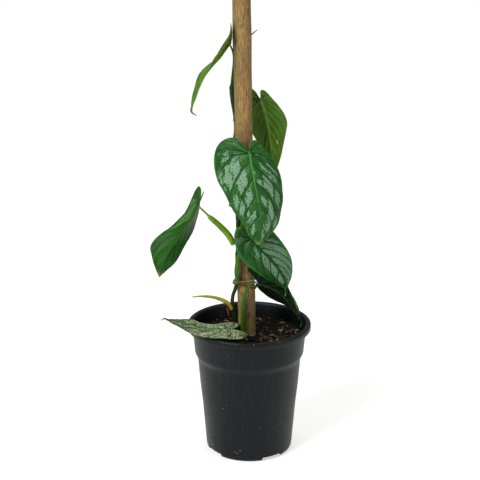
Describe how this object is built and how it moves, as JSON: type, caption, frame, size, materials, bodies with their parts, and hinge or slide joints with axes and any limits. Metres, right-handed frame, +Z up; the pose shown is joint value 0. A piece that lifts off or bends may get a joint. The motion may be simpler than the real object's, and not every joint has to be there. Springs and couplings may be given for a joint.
{
  "type": "potted silver leaf philodendron",
  "caption": "Climbing aroid with silver-patched heart-shaped leaves, tied to a wooden stake in a black round nursery pot.",
  "frame": {"origin": "centre of the bounding box at its bottom, on the plane the pot's foot stands on", "axes": "+Z up along the pot's axis and the stake, -Y towards the viewer of the plant's front, +X to the viewer's right"},
  "size_m": [0.1806, 0.14, 0.54],
  "materials": {
    "pot": "satin, moulded",
    "soil": "rough, loose bark and peat",
    "stake": "debarked, matt",
    "stem": "satin, living stem",
    "leaf": "satin, silver patched",
    "stalk": "satin, living stalk",
    "shoot": "satin, young shoot",
    "scale": "papery",
    "root": "matt, dry",
    "green_tie": "satin",
    "twine": "matt, twisted fibre",
    "foot_tie": "satin"
  },
  "bodies": {
    "root": {"pot": "pot", "soil": "soil", "stake": "stake", "main_stem": "stem", "leaf_1": "leaf", "leaf_2": "leaf", "leaf_3": "leaf", "leaf_4": "leaf", "leaf_5": "leaf", "leaf_6": "leaf", "leaf_7": "leaf", "petiole_1": "stalk", "petiole_2": "stalk", "petiole_3": "stalk", "petiole_4": "stalk", "petiole_5": "stalk", "petiole_6": "stalk", "petiole_7": "stalk", "new_shoot": "shoot", "red_scale": "scale", "upper_root": "root", "root_stub": "root", "green_tie": "green_tie", "twine": "twine", "foot_tie": "foot_tie"}
  },
  "joints": []
}
